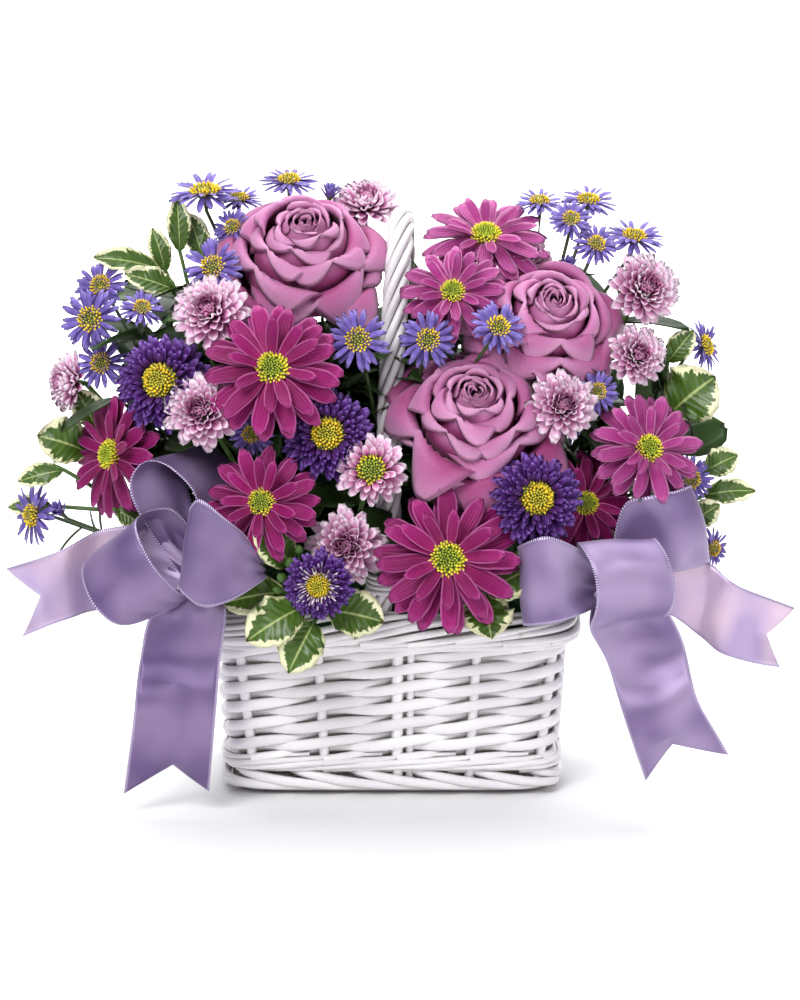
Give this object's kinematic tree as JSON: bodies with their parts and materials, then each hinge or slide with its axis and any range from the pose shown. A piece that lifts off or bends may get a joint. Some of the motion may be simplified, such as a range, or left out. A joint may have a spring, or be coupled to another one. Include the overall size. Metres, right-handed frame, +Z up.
{
  "type": "flower basket arrangement",
  "caption": "White willow basket with a fixed arch handle, filled with roses, daisy mums, cushion mums, asters and variegated leaves, with a satin bow at each front corner.",
  "frame": {"origin": "centre of the basket's flat underside", "axes": "+Z up along the handle, front of the arrangement towards -Y, basket's long side along X"},
  "size_m": [0.3844, 0.2004, 0.3007],
  "materials": {
    "willow": "white painted willow rods, satin",
    "liner": "dark green film liner",
    "floral_foam": "wet fine-celled foam",
    "rose_petal": "mauve velvety petals",
    "green_stem": "green stem and calyx",
    "daisy_petal": "cerise petals with fine grooves",
    "daisy_disc": "yellow-green florets on green stems",
    "cushion_mum": "lilac petals with pale tips",
    "double_aster": "deep violet petals",
    "aster_disc": "gold florets",
    "small_aster": "blue-violet petals, gold discs, green stems",
    "variegated_leaf": "green blades with cream margins",
    "satin_ribbon": "lavender satin with a stitched edge"
  },
  "bodies": {
    "root": {"basket_body": "willow", "rim_border": "willow", "foot_border": "willow", "handle": "willow", "liner": "liner", "floral_foam": "floral_foam", "rose_1_petals": "rose_petal", "rose_1_stem": "green_stem", "rose_2_petals": "rose_petal", "rose_2_stem": "green_stem", "rose_3_petals": "rose_petal", "rose_3_stem": "green_stem", "daisy_1_petals": "daisy_petal", "daisy_2_petals": "daisy_petal", "daisy_3_petals": "daisy_petal", "daisy_4_petals": "daisy_petal", "daisy_5_petals": "daisy_petal", "daisy_6_petals": "daisy_petal", "daisy_7_petals": "daisy_petal", "daisy_8_petals": "daisy_petal", "daisy_9_petals": "daisy_petal", "daisy_stems_1": "daisy_disc", "daisy_stems_2": "daisy_disc", "daisy_stems_3": "daisy_disc", "daisy_stems_4": "daisy_disc", "cushion_mum_1": "cushion_mum", "cushion_mum_2": "cushion_mum", "cushion_mum_3": "cushion_mum", "cushion_mum_4": "cushion_mum", "cushion_mum_5": "cushion_mum", "cushion_mum_6": "cushion_mum", "cushion_mum_7": "cushion_mum", "cushion_mum_8": "cushion_mum", "cushion_mum_9": "cushion_mum", "cushion_mum_10": "cushion_mum", "cushion_mum_11": "cushion_mum", "double_aster_1": "double_aster", "double_aster_1_disc": "aster_disc", "double_aster_2": "double_aster", "double_aster_2_disc": "aster_disc", "double_aster_3": "double_aster", "double_aster_3_disc": "aster_disc", "double_aster_4": "double_aster", "double_aster_4_disc": "aster_disc", "aster_spray_1": "small_aster", "aster_spray_2": "small_aster", "aster_spray_3": "small_aster", "aster_spray_4": "small_aster", "aster_spray_5": "small_aster", "aster_spray_6": "small_aster", "aster_spray_7": "small_aster", "leaf_spray_1": "variegated_leaf", "leaf_spray_2": "variegated_leaf", "leaf_spray_3": "variegated_leaf", "leaf_spray_4": "variegated_leaf", "leaf_spray_5": "variegated_leaf", "leaf_spray_6": "variegated_leaf", "leaf_spray_7": "variegated_leaf", "bow_left": "satin_ribbon", "bow_right": "satin_ribbon"}
  },
  "joints": []
}
